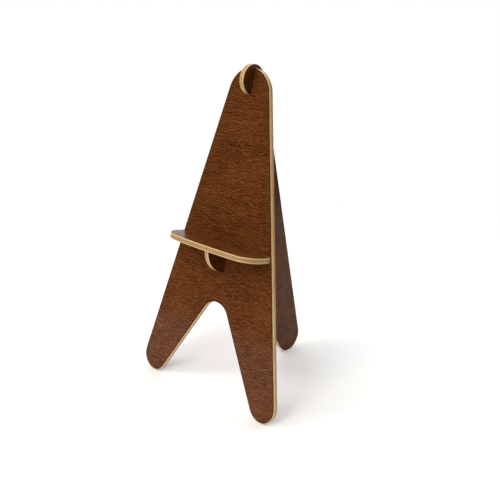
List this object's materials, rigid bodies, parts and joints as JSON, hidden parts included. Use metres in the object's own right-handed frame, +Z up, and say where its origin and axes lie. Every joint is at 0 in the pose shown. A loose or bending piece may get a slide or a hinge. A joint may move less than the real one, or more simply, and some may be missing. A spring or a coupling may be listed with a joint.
{
  "type": "display easel",
  "caption": "Flat-pack plywood display easel: A-shaped panel leaning back, upright rear leg hooked over its top, and a ledge with rounded front corners whose tongue locks the leg.",
  "frame": {"origin": "on the ground, in the plane of symmetry, midway between the front-most and the rear-most point", "axes": "+Z is up, the easel faces -Y, and X runs across it"},
  "size_m": [0.616, 0.5008, 1.0853],
  "materials": {
    "stained_plywood": "birch plywood stained red-brown under satin lacquer, with pale bare plies on its cut edges"
  },
  "bodies": {
    "stand": {"front_panel": "stained_plywood", "rear_leg": "stained_plywood"},
    "ledge": {"shelf": "stained_plywood"}
  },
  "joints": [
    {"name": "shelf_slide", "type": "slide", "parent": "stand", "child": "ledge", "axis": [0, -0.974, 0.2267], "range_m": [0, 0.064]}
  ]
}
